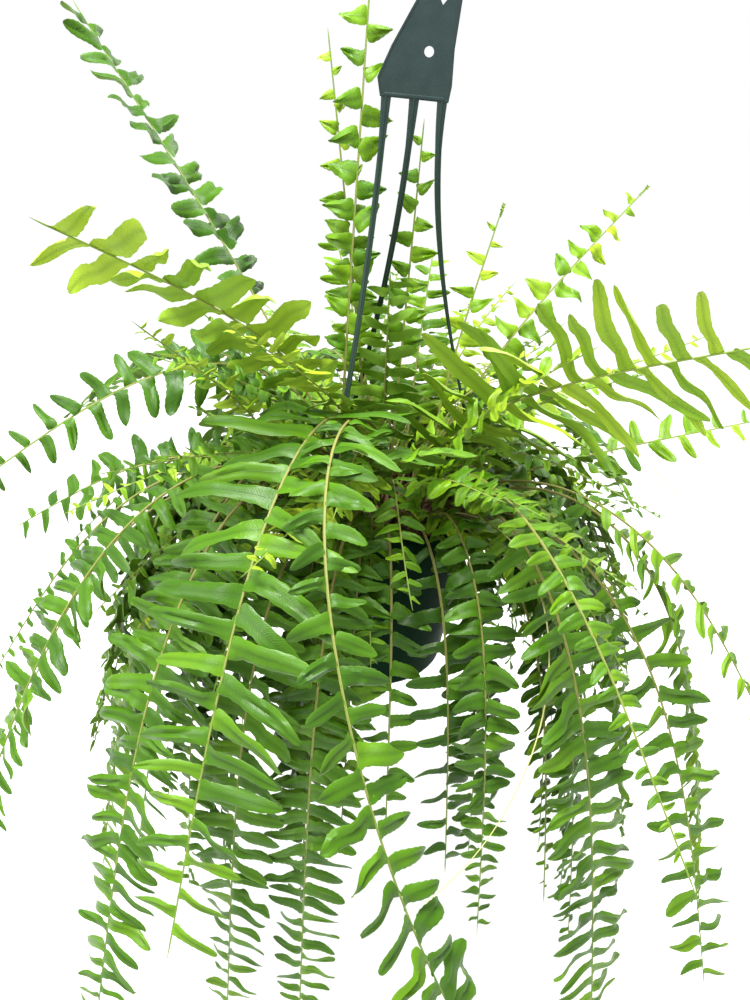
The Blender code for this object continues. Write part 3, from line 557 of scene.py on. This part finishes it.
FRONDS = (
    Frond("front_left_broad", 0.42, -108, (30, -110), 80, 9.8, 725, 20, 92, 0.2, 0.45, 0.21),
    Frond("front_middle_long", 0.38, -121, (38, -50), 77, 9, 820, 21, 34, 0.24, 1.7, 0.42, swing=112),
    Frond("right_near", 0.8, -53, (24, -15), 65, 2.7, 490, 14, 104, 0.24, 0.75, 0.16, roll=-44),
    Frond("right_long", 0.5, -63, (50, -50), 68, 6.2, 580, 22, 31, 0.2, 0.25, 0.44),
    Frond("left_near", 0.85, -127, (20, -135), 74, 3.68, 525, 9, 64, 0.4, 0.8, 0.38, roll=26),
    Frond("left_front", 0.4, -128, (45, -130), 78, 11, 680, 15, 62, 0.2, 0.45, 0.28),
    Frond("left_tall", 0.28, 157, (32, 148), 62, 0.8, 640, 12, 66, 0.42, 0.5, 0.4, roll=8),
    Frond("left_level", 0.3, -148, (50, 178), 84, 8.9, 520, 13, 46, 0.28, 0.4, 0.4, roll=-55),
    Frond("left_drooping", 0.32, -163, (65, -160), 64, 8.5, 540, 12, 50, 0.2, 0.35, 0.34, roll=-25),
    Frond("left_low_long", 0.4, -119, (70, -128), 70, 9.2, 770, 14, 54, 0.3, 0.6, 0.3),
    Frond("left_outer_long", 0.42, -139, (72, -146), 66, 7.6, 700, 12, 52, 0.28, 0.5, 0.3),
    Frond("left_short", 0.25, 178, (70, 172), 59, 5.4, 410, 9, 38, 0.35, 0.4, 0.4, roll=-40),
    Frond("left_flat", 0.3, 180, (80, 184), 50, 4, 420, 8, 46, 0.35, 0.5, 0.42, roll=-40),
    Frond("left_fine", 0.35, -168, (80, -168), 54, 5.8, 540, 12, 24, 0.4, 0.3, 0.45, roll=-35),
    Frond("left_slanting", 0.35, -162, (84, -155), 54, 6.4, 560, 11, 42, 0.35, 0.5, 0.36, roll=-30),
    Frond("right_thin", 0.65, 0, (60, 8), 26, 0.5, 430, 8, 38, 0.4, 0.4, 0.36, roll=30),
    Frond("right_young", 0.7, 36, (40, 25), 62, 1.7, 500, 9, 32, 0.36, 0.3, 0.66, True, 50),
    Frond("crown_coiled", 0.75, 40, (50, 2), 84, 3, 345, 6, 28, 0.36, 0.3, 0.5, True, 40),
    Frond("crown_tallest", 0.6, 30, (54, 165), 88, 0.9, 600, 12, 30, 0.28, 0.6, 0.64, roll=50),
    Frond("crown_tall_left", 0.65, 150, (25, 120), 84, 1, 500, 10, 27, 0.3, 0.35, 0.64, roll=-50),
    Frond("crown_tall_right", 0.6, 60, (20, 60), 86, 0.6, 420, 8, 25, 0.35, 0.45, 0.66, roll=40),
    Frond("right_outer", 0.62, -22, (70, -12), 54, 5.8, 610, 12, 42, 0.28, 0.45, 0.34),
    Frond("right_low_long", 0.5, -30, (62, -34), 42, 6.8, 800, 15, 50, 0.3, 0.7, 0.38, roll=50),
    Frond("right_hanging", 0.45, -58, (72, -44), 62, 9, 760, 13, 60, 0.26, 0.6, 0.28),
    Frond("front_narrow", 0.65, -47, (80, -56), 56, 9.3, 570, 13, 26, 0.36, 0.25, 0.45),
    Frond("front_middle", 0.35, -85, (78, -86), 60, 9, 410, 11, 40, 0.2, 0.5, 0.42),
    Frond("front_round", 0.6, -57, (78, -66), 58, 7, 260, 10, 13, 0.24, 0.7, 0.8),
    Frond("front_dark", 0.15, -70, (66, -76), 64, 10, 500, 11, 42, 0.24, 0.6, 0.36),
    Frond("front_young", 0.95, -50, (52, -76), 52, 2.6, 150, 4, 20, 0.4, 0.6, 0.6),
    Frond("front_hanging", 0.38, -100, (72, -100), 62, 10.5, 720, 14, 50, 0.24, 0.5, 0.32),
    Frond("front_left_low", 0.42, -112, (80, -114), 60, 10, 710, 13, 54, 0.24, 0.5, 0.32),
    Frond("left_pale", 0.58, -145, (90, -135), 60, 9, 620, 12, 46, 0.26, 0.5, 0.36),
    Frond("right_low", 0.5, -40, (84, -36), 56, 9, 490, 11, 44, 0.26, 0.5, 0.34),
    Frond("right_pale", 0.62, -22, (88, -24), 58, 8.5, 760, 13, 50, 0.28, 0.5, 0.32),
    Frond("right_side", 0.5, 13, (88, 15), 54, 7.5, 560, 10, 44, 0.26, 0.4, 0.34),
    Frond("back_right", 0.45, 35, (60, 38), 62, 6, 600, 9, 54, 0.26, 0.4, 0.42),
    Frond("back_right_high", 0.35, 60, (55, 62), 66, 7, 620, 9, 56, 0.26, 0.4, 0.42),
    Frond("back_middle", 0.4, 85, (60, 86), 62, 6.5, 600, 9, 54, 0.26, 0.4, 0.42),
    Frond("back_middle_high", 0.5, 108, (50, 106), 68, 6.5, 660, 9, 58, 0.26, 0.4, 0.42),
    Frond("back_left", 0.35, 130, (60, 130), 64, 6.5, 600, 9, 54, 0.26, 0.4, 0.42),
    Frond("back_left_high", 0.4, 150, (55, 150), 70, 6, 620, 9, 54, 0.26, 0.4, 0.42),
    Frond("low_right", 0.3, 20, (80, 20), 56, 8, 560, 8, 50),
    Frond("low_back_right", 0.35, 46, (80, 46), 58, 8.5, 580, 8, 50),
    Frond("low_back", 0.25, 72, (80, 72), 56, 8, 560, 8, 50),
    Frond("low_back_middle", 0.3, 100, (80, 100), 58, 8.5, 580, 8, 50),
    Frond("low_back_left", 0.35, 126, (82, 126), 56, 8, 560, 8, 50),
    Frond("low_left_back", 0.3, 143, (80, 143), 58, 8.5, 580, 8, 50),
    Frond("low_left", 0.3, 162, (80, 160), 56, 7.5, 540, 8, 48),
    Frond("crown_front", 0.45, -90, (12, -90), 84, 3, 300, 5, 40, 0.3, 0.5, 0.4),
    Frond("crown_right", 0.6, -20, (35, -15), 76, 3, 280, 5, 36, 0.3, 0.5, 0.4),
    Frond("crown_back_left", 0.6, 120, (35, 95), 80, 3, 320, 5, 40, 0.3, 0.5, 0.4),
    Frond("crown_left", 0.6, -150, (40, -165), 78, 3.5, 300, 5, 40, 0.3, 0.5, 0.4),
    Frond("crown_near", 0.4, -75, (55, -90), 74, 4, 300, 5, 38, 0.3, 0.5, 0.4),
    Frond("crown_back_right", 0.6, 80, (42, 50), 78, 3, 320, 5, 40, 0.3, 0.5, 0.4),
)


def stalk_path(frond):
    """Points along a stalk that bends under what lies beyond each point, each with its direction."""
    rise = math.radians(frond.rise)
    directions = []
    for step in range(STALK_STEPS + 1):
        u = step / STALK_STEPS
        way = heading(frond.heading + frond.swing * u**1.5)
        directions.append(way * math.cos(rise) + UP * math.sin(rise))
        rise -= frond.weight * (1 - u) ** 1.5 * math.cos(rise) / STALK_STEPS
    radius, turn = frond.root
    points = [heading(turn) * (radius * MM) - UP * SOIL_DEPTH]
    for before, after in zip(directions, directions[1:]):
        points.append(points[-1] + (before + after) / 2 * (frond.length * MM / STALK_STEPS))
    return list(zip(points, directions))


def leftward(frond, path, u):
    """Across the stalk to its left, at this share of its length: level, or turned by the frond's roll."""
    level = UP.cross(heading(frond.heading + frond.swing * u**1.5))
    return Matrix.Rotation(math.radians(frond.roll), 3, path[round(u * STALK_STEPS)][1]) @ level


def stalk_frame(frond, path, u):
    """A point of the stalk's top, its direction, left, underneath, and half its width there."""
    index = min(int(u * STALK_STEPS), STALK_STEPS - 1)
    part = u * STALK_STEPS - index
    point = path[index][0].lerp(path[index + 1][0], part)
    along = path[index][1].lerp(path[index + 1][1], part).normalized()
    left = leftward(frond, path, u)
    half = STALK_HALF_BASE + (STALK_HALF_TIP - STALK_HALF_BASE) * u
    return point, along, left, left.cross(along) * STALK_DEEP, half


def leaflet_length(frond, v):
    """At this share of the leafy part: shorter near its foot, and tapering towards the tip."""
    rising = 0.72 + 0.28 * min(1, v / 0.2)
    falling = 1 - (1 - frond.taper) * max(0, (v - 0.35) / 0.65) ** 1.6
    return frond.leaflet * MM * rising * falling


class Blade(NamedTuple):
    """Where a leaflet starts, its directions at its root and beyond its bend, and its size."""

    root: Vector
    axis: Vector
    across: Vector
    above: Vector
    hanging: Vector
    length: float
    width: float
    reach: float  # share of the length where it bends


def lay_blade(near, far, side, left, size, bend):
    """A leaflet of this size, on the left (side 1) or right (side -1) of the stalk between two points."""
    length, width, sweep, lift, droop = size
    more_lift, share = bend
    along = (far - near).normalized()
    level = ((left - along * left.dot(along)) * side).normalized()
    over = along.cross(level) * side
    raised = lift + math.radians(more_lift)
    outer = level * math.cos(raised) + over * math.sin(raised)
    above = over * math.cos(raised) - level * math.sin(raised)
    axis = outer * math.cos(sweep) + along * math.sin(sweep)
    across = along * math.cos(sweep) - outer * math.sin(sweep)
    hanging = axis * math.cos(droop) - above * math.sin(droop) + across * 0.1
    reach = LONG_BEND if length * share > LONG_LEAFLET else SHORT_BEND
    return Blade((near + far) / 2, axis, across, above, hanging, length * share, width, reach)


def find_blade(tips, *leaflet):
    """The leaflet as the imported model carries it, bent clear of the others, or None where it has none."""
    for share, lifts in BENDS:
        for lift in lifts:
            blade = lay_blade(*leaflet, (lift, share))
            tip = blade.root + (blade.axis * blade.reach + blade.hanging * (1 - blade.reach)) * blade.length
            if tips.find(tip + RIM_MIDDLE)[2] < MATCH:
                return blade
    return None


class Growth:
    """One frond's mesh as it is drawn, with what its materials need to know of each face."""

    def __init__(self):
        self.points, self.spots = [], []
        self.faces, self.marks, self.parts = [], [], []

    def add(self, points, spots, part, *painted):
        """Adds points with their places on the blade, and groups of faces, each with its mark."""
        first = len(self.points)
        self.points += points
        self.spots += spots
        for faces, mark in painted:
            self.faces += [tuple(first + corner for corner in dict.fromkeys(face)) for face in faces]
            self.marks += [mark] * len(faces)
            self.parts += [part] * len(faces)

    def made(self, name, finishes=2):
        piece = add_shell(name, self.points, self.faces)
        mesh = piece.data
        if finishes > 1:
            mesh.polygons.foreach_set("material_index", self.parts)
        spots = [number for loop in mesh.loops for number in self.spots[loop.vertex_index]]
        mesh.uv_layers.new(name="blade").data.foreach_set("uv", spots)
        marks = []
        for polygon in mesh.polygons:
            marks += self.marks[polygon.index] * polygon.loop_total
        mesh.color_attributes.new("growth", "FLOAT_COLOR", "CORNER").data.foreach_set("color", marks)
        return piece


def ease(share):
    share = max(0, min(1, share))
    return share * share * (3 - 2 * share)


def draw_leaflet(growth, blade, youth, rows, rng):
    """A closed thin blade: a groove down its middle, two swelling halves, and a toothed, waving edge."""
    length, width = blade.length, blade.width
    last = len(rows) - 1
    tilt, twist = rng.uniform(-0.4, 0.4), rng.uniform(-0.8, 0.8)
    bow = rng.uniform(-0.2, 0.12) * length
    sway = rng.uniform(-0.08, 0.16) * length
    waves = rng.uniform(0.9, 1.8) if length > WAVY_LEAFLET else rng.uniform(0.5, 1.2)
    ripple = rng.uniform(0.06, 0.2) * width
    phases = rng.uniform(0, math.tau), rng.uniform(0, math.tau)
    heave = rng.uniform(0.04, 0.14) * width
    swell = rng.uniform(0.08, 0.16) * width
    curl = rng.uniform(-0.2, 0.12) * width
    fuller = rng.uniform(0.84, 1.02)
    soft = 0.16

    def spot(s, sideways, high):
        """A point of the blade: share of its length, metres ahead of the midrib, metres above it."""
        turned_in = max(0, min(1, (s - blade.reach + soft) / (2 * soft)))
        beyond = soft * turned_in**2 + max(0, s - blade.reach - soft)
        centre = blade.root + (blade.axis * (s - beyond) + blade.hanging * beyond) * length
        along = (blade.axis * (1 - turned_in) + blade.hanging * turned_in).normalized()
        ahead = (blade.across - along * along.dot(blade.across)).normalized()
        above = blade.above - along * along.dot(blade.above)
        above = (above - ahead * ahead.dot(above)).normalized()
        centre += ahead * (sway * s**2)
        centre += above * (bow * s**2 + heave * math.sin(math.tau * waves * s + phases[0]) * ease(s / 0.2))
        turn = tilt * ease(s / 0.12) + twist * ease(s)
        turned_ahead = ahead * math.cos(turn) + above * math.sin(turn)
        turned_above = above * math.cos(turn) - ahead * math.sin(turn)
        return centre + turned_ahead * sideways + turned_above * high

    def lift(s, phase):
        """How high the edge waves at this share of the length."""
        return math.sin(math.tau * waves * s + phase) * ripple * ease(s / 0.2) * (1 - 0.4 * s)

    points, spots = [], []
    sides = ((-1, 1, phases[0]), (1, 2, phases[1]))
    for direction, column, phase in sides:
        for step in range(2 * last):
            row, following = rows[step // 2], rows[step // 2 + 1]
            share = step % 2 / 2
            s, half, on = (row[k] * (1 - share) + following[k] * share for k in (0, column, 3))
            tooth = (0.022 if share else -0.012) * (step > 1)
            reach = direction * (half * fuller + tooth) * width
            points.append(spot(s + on, reach, lift(s, phase) + curl * ease(s / 0.3) * (1 - s)))
            spots.append((s, direction))
    for direction, column, phase in sides:
        for row in rows[:-1]:
            s = row[0]
            high = 0.45 * lift(s, phase) + swell * ease(s / 0.2) * ease((1 - s) / 0.3)
            points.append(spot(s, direction * CREST * row[column] * width * fuller, high + 0.25 * MM))
            spots.append((s, direction * CREST))
    for high in (0.3 * MM, -0.45 * MM):
        for row in rows[:-1]:
            points.append(spot(row[0], 0, high * (1 - 0.8 * row[0])))
            spots.append((row[0], 0))
    points.append(spot(1, 0, 0))
    spots.append((1, 0))

    tip = 8 * last
    back, fore = [*range(2 * last), tip], [*range(2 * last, 4 * last), tip]
    inner_back, inner_fore, rib, keel = [[*range(k * last, (k + 1) * last), tip] for k in (4, 5, 6, 7)]
    upper = []
    lower = [(back[0], inner_back[0], rib[0], inner_fore[0], fore[0], keel[0])]
    for k in range(last):
        for edge, inner in ((back, inner_back), (fore, inner_fore)):
            teeth = edge[2 * k : 2 * k + 3]
            upper.append((*teeth, inner[k + 1], inner[k]))
            upper.append((inner[k], inner[k + 1], rib[k + 1], rib[k]))
            lower.append((*teeth, keel[k + 1], keel[k]))
    chance = rng.random()
    growth.add(points, spots, 0, (upper, (youth, chance, 0, 1)), (lower, (youth, chance, 1, 1)))


def add_bar(growth, sections, shares, mark):
    """A closed stalk through these sections."""
    points = [point for section in sections for point in section]
    spots = [(share, 0) for share, section in zip(shares, sections) for _ in section]
    growth.add(points, spots, 1, (tube_faces(len(sections), len(sections[0])), mark))


def stalk_section(point, left, under, half):
    """Eight points round a stalk that is grooved on top and deep underneath."""
    right_side = ((0.62, -0.12), (0.95, 0.2), (0.62, 0.7))
    left_side = [(-x, y) for x, y in reversed(right_side)]
    outline = ((0, 0.12), *right_side, (0, 0.95), *left_side)
    return [point + left * (half * x) + under * (half * y) for x, y in outline]


def draw_stalk(growth, frond, path, steps=48, stout=1.5):
    sections, shares = [], []
    for step in range(steps + 1):
        u = step / steps
        point, along, left, under, half = stalk_frame(frond, path, u)
        size = half * stout if step < steps else half * 0.3
        sections.append(stalk_section(point, left, under, size))
        shares.append(u)
    start = [point - path[0][1] * ROOT_DEPTH for point in sections[0]]
    add_bar(growth, [start, *sections], [0, *shares], (frond.youth, 0, 0, 1))


def draw_coil(growth, frond, path, rng):
    """An unopened tip, rolled up under itself, with its folded leaflets as nubs along its back."""
    point, along = path[-1]
    left = leftward(frond, path, 1)
    turn = Matrix.Rotation(math.radians(COIL_STEP_ANGLE), 3, left)
    sections = []
    for step in range(COIL_STEPS + 1):
        share = step / COIL_STEPS
        point = point + along * ((1.3 - 0.7 * share) * MM)
        along = turn @ along
        under = left.cross(along)
        half = (1.25 - 0.4 * share) * MM * (1 + 0.12 * math.sin(step * 2.1))
        sections.append(stalk_section(point, left * 1.2, under, half))
        if step % 3 == 0:
            for side in (1, -1):
                axis = (left * side - under * 0.9 - along * 0.3).normalized()
                across = (along - axis * axis.dot(along)).normalized()
                size = (3.2 - 2 * share) * MM
                nub = Blade(point, axis, across, -under, axis, size, size * 0.7, 0.5)
                draw_leaflet(growth, nub, frond.youth, TRIANGLE_BLADE, rng)
    add_bar(growth, sections, [1] * len(sections), (frond.youth, 0, 0, 1))


def leaf_finish():
    """Green that yellows where a frond is young, with fine slanting veins, a thin pale edge, and painted
    shade in the groove along the midrib.
    """
    leaf = Finish("leaf", 0.22)
    youth, chance, under = leaf.growth()
    along, across = leaf.blade()
    side = abs(across)
    patches = leaf.grain(13, 3)
    fine = leaf.grain(420, 3)
    veins = ((along * 34 - side * 3 + (fine - 0.5) * 1.2) * math.tau).sine().rise(-0.4, 1)
    rib = 1 - side.rise(0, 0.08)
    edge = side.rise(0.9, 1)
    age = youth + (chance - 0.5) * 0.24 + (patches - 0.5) * 0.4
    greens = ((0, "1b3803"), (0.25, "2a5004"), (0.5, "426c07"), (0.75, "688f0e"), (1, "9cb424"))
    green = leaf.ramp(age, *greens)
    green = leaf.blend(veins * 0.05 + fine * 0.05, green, "66902a")
    # Painted shade: each side darkens towards the midrib, where shade falls in its groove.
    green = leaf.blend((1 - side.rise(0, 0.5)) * 0.35, green, "243f08")
    green = leaf.blend(edge * 0.16, green, "84ac34")
    # Paler undersides: partly the blade's own paler underside, partly painted light standing in for light
    # shining through the thin blade.
    green = leaf.blend(under * 0.4, green, "73942c")
    rough = 0.3 + fine * 0.12 + under * 0.25
    leaf.wear(green, rough, veins * 0.35 + fine * 0.6 - rib * 0.4, 0.2 * MM)
    return leaf.material


def stalk_finish():
    """Brown and scaly at the foot, then straw to green, streaked lengthwise."""
    stalk = Finish("stalk", 0.3)
    youth, along = stalk.growth()[0], stalk.blade()[0]
    fine = stalk.grain(350, 4)
    scales = stalk.grain(600, 2).rise(0.55, 0.7) * (1 - along.rise(0.05, 0.6))
    browns = ((0, "4a3a1e"), (0.12, "5d5a28"), (0.35, "7b7a3e"), (0.75, "74803a"), (1, "668030"))
    colour = stalk.ramp(along + (fine - 0.5) * 0.2, *browns)
    colour = stalk.blend(youth.rise(0.4, 1) * 0.3, colour, "829c3a")
    colour = stalk.blend(scales * 0.7, colour, "4a2f18")
    stalk.wear(colour, 0.5 + fine * 0.15, fine + scales, 0.3 * MM)
    return stalk.material


def turned_blade(blade, angle):
    """The same leaflet, swung in its own plane by this angle."""
    turn = Matrix.Rotation(angle, 3, blade.above)
    return blade._replace(axis=turn @ blade.axis, across=turn @ blade.across, hanging=turn @ blade.hanging)


def draw_leaflets(growth, frond, path, draws, looks, tips=None):
    """Leaflets by turns left and right: for each broad one of the solid, as many as the spacing holds."""
    room = (LAST_PAIR - frond.bare) / frond.pairs
    triangular = frond.plump >= TRIANGLE_PLUMP
    closer = max(1, round(room * frond.length / (TRIANGLE_SPACING if triangular else LEAFLET_SPACING)))
    for index in range(frond.pairs):
        start, end = frond.bare + room * index, frond.bare + room * (index + 1)
        left = leftward(frond, path, (start + end) / 2)
        share = (index + 0.5) / frond.pairs
        frames = [stalk_frame(frond, path, u) for u in (start, end)]
        for side in (1, -1):
            near, far = (point + across * (half * side) for point, _, across, _, half in frames)
            length = leaflet_length(frond, share) * draws.uniform(0.94, 1.06)
            width = min(length * frond.plump, (far - near).length * LEAFLET_ROOM)
            turns = [math.radians(draws.uniform(*spread)) for spread in SPREADS]
            leaflet = near, far, side, left, (length, width, *turns)
            if tips:
                blade = find_blade(tips, *leaflet)
            else:
                blade = lay_blade(*leaflet, (looks.uniform(-25, 35), 1))
            if not blade:
                continue
            rows = TRIANGLE_BLADE if triangular else LONG_BLADE if length > LONG_BLADE_FROM else SHORT_BLADE
            gap = (far - near).length / closer
            for place in range(closer):
                placed = turned_blade(blade, looks.uniform(-SWERVE, SWERVE) * (2 if triangular else 1))
                root = near.lerp(far, (place + 0.5 + STAGGER * side) / closer)
                long = blade.length * looks.uniform(0.84, 1.06) * (TRIANGLE_LONGER if triangular else 1)
                placed = placed._replace(root=root, width=min(long * frond.plump, gap * FULLEST), length=long)
                draw_leaflet(growth, placed, frond.youth + 0.12 * share**2, rows, looks)


leaf_material, stalk_material = leaf_finish(), stalk_finish()
for seed, frond in enumerate(FRONDS):
    path = stalk_path(frond)
    node = "frond_" + frond.name
    tips = KDTree(len(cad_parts[node].data.vertices))
    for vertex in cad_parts[node].data.vertices:
        tips.insert(vertex.co, vertex.index)
    tips.balance()
    looks = random.Random(seed + 500)
    growth = Growth()
    draw_stalk(growth, frond, path)
    if frond.coiled:
        draw_coil(growth, frond, path, looks)
    draw_leaflets(growth, frond, path, random.Random(seed), looks, tips)
    hang(growth.made("leaves_" + frond.name), node, "leaf_green", leaf_material, stalk_material, crease=70)

# Smaller fronds. A full basket has dozens of them between the large ones: short upright ones that fill the
# crown, and half-grown ones that hang over the rim and hide the pot. They root in the same peat.
GROUPS = 4
SMALLER_REACH = 370 * MM
STRAND_ROOM = 11 * MM
RIM_FROM, RIM_TO, RIM_TOP = 108 * MM, 136 * MM, 5 * MM
SPARSE_FROM, SPARSE_TO = 262, 298  # degrees round the pot where few hang, and the wall shows


class Habit(NamedTuple):
    """A kind of smaller frond. A pair of numbers is the least and the most of a measure."""

    name: str
    in_group: int
    length: tuple
    youth: tuple
    stray: float  # degrees that a frond heads to either side of its root
    swing: float
    root: tuple
    rise: tuple
    weight: tuple
    spacing: float  # millimetres between its pairs of leaflets
    leaflet: tuple
    bare: float
    taper: float
    plump: tuple
    roll: float


SHORT_STALK = ((160, 400), (0.35, 0.9), 45, 30, (10, 96), (44, 82), (3, 6.5))
SHORT = Habit("short", 22, *SHORT_STALK, 17, (22, 38), 0.22, 0.3, (0.36, 0.48), 35)
HANGING_STALK = ((360, 720), (0.2, 0.55), 16, 20, (66, 98), (52, 70), (7, 11))
HANGING = Habit("hanging", 16, *HANGING_STALK, 18, (28, 46), 0.19, 0.35, (0.42, 0.56), 20)


def clears(path):
    """True where a stalk stays off the strands and the rim, and behind the tips of the large fronds."""
    for point, _ in path:
        reach = math.hypot(point.x, point.y)
        if reach > SMALLER_REACH or (RIM_FROM < reach < RIM_TO and point.z < RIM_TOP):
            return False
        if any((point - spot).length < STRAND_ROOM for strand in strands for spot in strand):
            return False
    return True


def small_frond(habit, turn, rng):
    """One frond of this habit, rooted this many degrees round the pot."""
    length = rng.uniform(*habit.length)
    return Frond(
        name=habit.name,
        youth=rng.uniform(*habit.youth),
        heading=turn + rng.uniform(-habit.stray, habit.stray),
        swing=rng.uniform(-habit.swing, habit.swing),
        root=(rng.uniform(*habit.root), turn),
        rise=rng.uniform(*habit.rise),
        weight=rng.uniform(*habit.weight),
        length=length,
        pairs=round(length * (LAST_PAIR - habit.bare) / habit.spacing),
        leaflet=rng.uniform(*habit.leaflet),
        bare=habit.bare,
        taper=habit.taper,
        plump=rng.uniform(*habit.plump),
        roll=rng.uniform(-habit.roll, habit.roll),
    )


for habit in (SHORT, HANGING):
    for group in range(GROUPS):
        rng = random.Random(900 + group)
        growth = Growth()
        for index in range(habit.in_group):
            turn = 360 * (index * GROUPS + group + rng.random()) / (habit.in_group * GROUPS)
            if habit is HANGING and SPARSE_FROM < turn < SPARSE_TO:
                continue
            frond = small_frond(habit, turn, rng)
            while not clears(path := stalk_path(frond)):
                frond = small_frond(habit, turn, rng)
            draw_stalk(growth, frond, path, 24, 1.2)
            draw_leaflets(growth, frond, path, rng, rng)
        piece = growth.made(f"{habit.name}_fronds_{group + 1}")
        hang(piece, None, "leaf_green", leaf_material, stalk_material, crease=70)

# Litter. Dead leaflets and strands of root fibre, dry and brown, have fallen on the peat and lie between
# the stalks.
DEAD_LEAFLETS = 90
FIBRES = 60
LITTER_CIRCLE = 110 * MM
FIBRE_CIRCLE = 106 * MM


def litter_finish():
    litter = Finish("litter", 0.2)
    chance = litter.growth()[1]
    fine = litter.grain(300, 4)
    colour = litter.blend(chance, "4a2c14", "9a7444")
    colour = litter.blend(fine.rise(0.4, 0.7) * 0.5, colour, "33200f")
    litter.wear(colour, 0.8 + fine * 0.1, fine, 0.3 * MM)
    return litter.material


rng = random.Random(77)
growth = Growth()
for index in range(DEAD_LEAFLETS):
    middle = heading(rng.uniform(0, 360)) * (LITTER_CIRCLE * rng.random() ** 0.5)
    middle -= UP * rng.uniform(8, 12) * MM
    axis = (heading(rng.uniform(0, 360)) + UP * rng.uniform(-0.15, 0.3)).normalized()
    across = UP.cross(axis).normalized()
    above, hanging = axis.cross(across), (axis - UP * 0.3).normalized()
    size = rng.uniform(10, 26) * MM
    blade = Blade(middle, axis, across, above, hanging, size, size * 0.4, 0.4)
    draw_leaflet(growth, blade, 0, SHORT_BLADE, rng)
for index in range(FIBRES):
    point = heading(rng.uniform(0, 360)) * (FIBRE_CIRCLE * rng.random() ** 0.5) - UP * 11 * MM
    way, bend = rng.uniform(0, 360), rng.uniform(-30, 30)
    sections = []
    for step in range(9):
        left = UP.cross(heading(way))
        sections.append(stalk_section(point + UP * rng.uniform(0, 2) * MM, left, -UP, 0.45 * MM))
        point = point + heading(way) * (4 * MM)
        way += bend
    add_bar(growth, sections, range(9), (0, rng.random(), 0, 1))
hang(growth.made("dry_litter", 1), None, "peat", litter_finish(), crease=70)

# Runners. Thin leafless shoots, straw coloured and wiry, that grow from the crown and look for peat to root
# in. They trail over the rim between the fronds.
RUNNERS = (
    Frond("right", 0, -43, (52, -24), 87, 11, 490, 0, 0),
    Frond("front_right", 0, -35, (70, -62), 50, 5.5, 560, 0, 0, swing=-160),
    Frond("front_left", 0, -128, (84, -124), 50, 7, 380, 0, 0, swing=60),
)


def runner_finish():
    shoot = Finish("runner", 0.35)
    fine = shoot.grain(260, 4)
    colour = shoot.blend(shoot.grain(20), "b4b26a", "c9c48a")
    colour = shoot.blend(fine.rise(0.55, 0.7) * 0.5, colour, "8a7440")
    shoot.wear(colour, 0.55 + fine * 0.15, fine, 0.3 * MM)
    return shoot.material


runner_material = runner_finish()
for runner in RUNNERS:
    growth = Growth()
    draw_stalk(growth, runner, stalk_path(runner), 60, 0.8)
    shoot = growth.made("shoot_" + runner.name, 1)
    hang(shoot, "runner_" + runner.name, "runner_tan", runner_material)

# Studio. A plain pale floor under the hanging plant, a white room round it, and three soft lamps: a broad one
# overhead, one from the left of the camera and a weaker one from behind.
floor_finish = Finish("floor", 0.2)
floor_finish.shader.inputs["Emission Strength"].default_value = 0.05
dust = floor_finish.grain(3, 5)
floor_colour = floor_finish.blend(dust, "fafafa", "fefefe")
floor_finish.wear(floor_colour, 0.8 + dust * 0.1, dust, 0.1 * MM)
bpy.ops.mesh.primitive_plane_add(size=30, location=(0, 0, -1.35))
floor = bpy.context.active_object
floor.name = "floor"
floor.data.materials.append(floor_finish.material)

world = bpy.data.worlds.new("studio")
bpy.context.scene.world = world
bpy.context.scene.view_settings.view_transform = "Standard"
world.use_nodes = True
background = world.node_tree.nodes["Background"]
background.inputs["Color"].default_value = (1, 1, 1, 1)
background.inputs["Strength"].default_value = 1

LAMP_AIM = Vector((-0.05, 0, -0.6))
for name, spot, size, power in (
    ("overhead", (-0.3, -0.4, 1.6), 0.9, 125),
    ("left", (-1.7, -1.4, 0.9), 0.8, 34),
    ("behind", (1.0, 1.9, 0.9), 1.2, 24),
):
    lamp_data = bpy.data.lights.new(name, "AREA")
    lamp_data.size = size
    lamp_data.energy = power
    lamp = bpy.data.objects.new(name, lamp_data)
    bpy.context.scene.collection.objects.link(lamp)
    lamp.location = spot
    lamp.rotation_euler = (LAMP_AIM - Vector(spot)).to_track_quat("-Z", "Y").to_euler()
